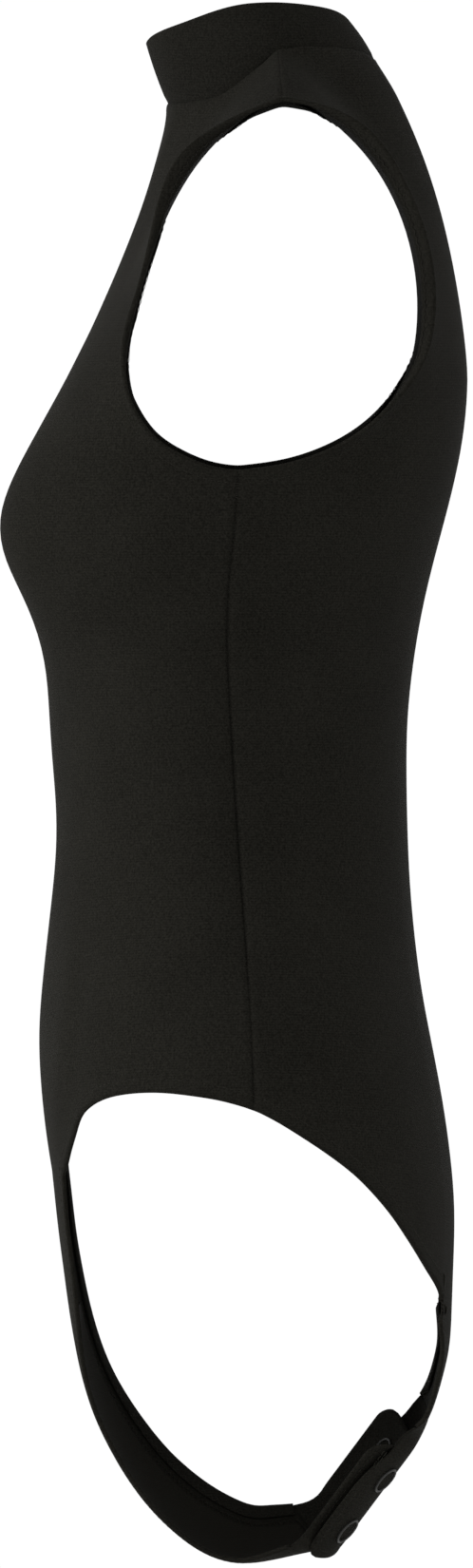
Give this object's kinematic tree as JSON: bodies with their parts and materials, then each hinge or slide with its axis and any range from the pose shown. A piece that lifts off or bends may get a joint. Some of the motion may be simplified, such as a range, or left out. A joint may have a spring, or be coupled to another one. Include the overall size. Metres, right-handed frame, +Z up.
{
  "type": "leotard",
  "caption": "Sleeveless high-cut leotard with a mock-neck collar and a snap crotch: shaped jersey panels, turned elastic hems, lined gusset and two overlapping closure tabs.",
  "frame": {"origin": "middle of the neckline opening, at the height of the shoulder points", "axes": "+Z up along the worn body, the front faces -Y, the wearer's left is +X"},
  "size_m": [0.3246, 0.2353, 0.7873],
  "materials": {
    "body_jersey": "matte fine jersey",
    "collar_jersey": "matte fine jersey, double layer",
    "lining_jersey": "matte cotton jersey",
    "elastic_tape": "matte elastic",
    "snap_metal": "dark grey enamelled brass wire"
  },
  "bodies": {
    "root": {"front_panel": "body_jersey", "back_panel": "body_jersey", "collar": "collar_jersey", "gusset_lining": "lining_jersey", "left_armhole_hem": "body_jersey", "right_armhole_hem": "body_jersey", "left_armhole_tape": "elastic_tape", "right_armhole_tape": "elastic_tape", "left_leg_hem": "body_jersey", "right_leg_hem": "body_jersey", "left_leg_elastic": "elastic_tape", "right_leg_elastic": "elastic_tape", "left_shoulder_tape": "elastic_tape", "right_shoulder_tape": "elastic_tape", "left_side_allowance": "body_jersey", "right_side_allowance": "body_jersey"},
    "front_tab": {"front_tab": "body_jersey", "socket_1": "snap_metal", "socket_2": "snap_metal", "socket_3": "snap_metal", "socket_4": "snap_metal", "socket_ring_1": "snap_metal", "socket_ring_2": "snap_metal", "socket_ring_3": "snap_metal", "socket_ring_4": "snap_metal"},
    "back_flap": {"back_flap": "body_jersey", "stud_1": "snap_metal", "stud_2": "snap_metal", "stud_3": "snap_metal", "stud_4": "snap_metal", "stud_ring_1": "snap_metal", "stud_ring_2": "snap_metal", "stud_ring_3": "snap_metal", "stud_ring_4": "snap_metal"}
  },
  "joints": [
    {"name": "front_tab_fold", "type": "hinge", "parent": "root", "child": "front_tab", "pos_m": [-0.00471, 0.01906, -0.74333], "axis": [0.969, -0.1005, -0.2259], "range_deg": [0, 70]},
    {"name": "back_flap_fold", "type": "hinge", "parent": "root", "child": "back_flap", "pos_m": [0.0111, 0.07715, -0.70133], "axis": [0.969, -0.1005, -0.2259], "range_deg": [0, 110]}
  ]
}
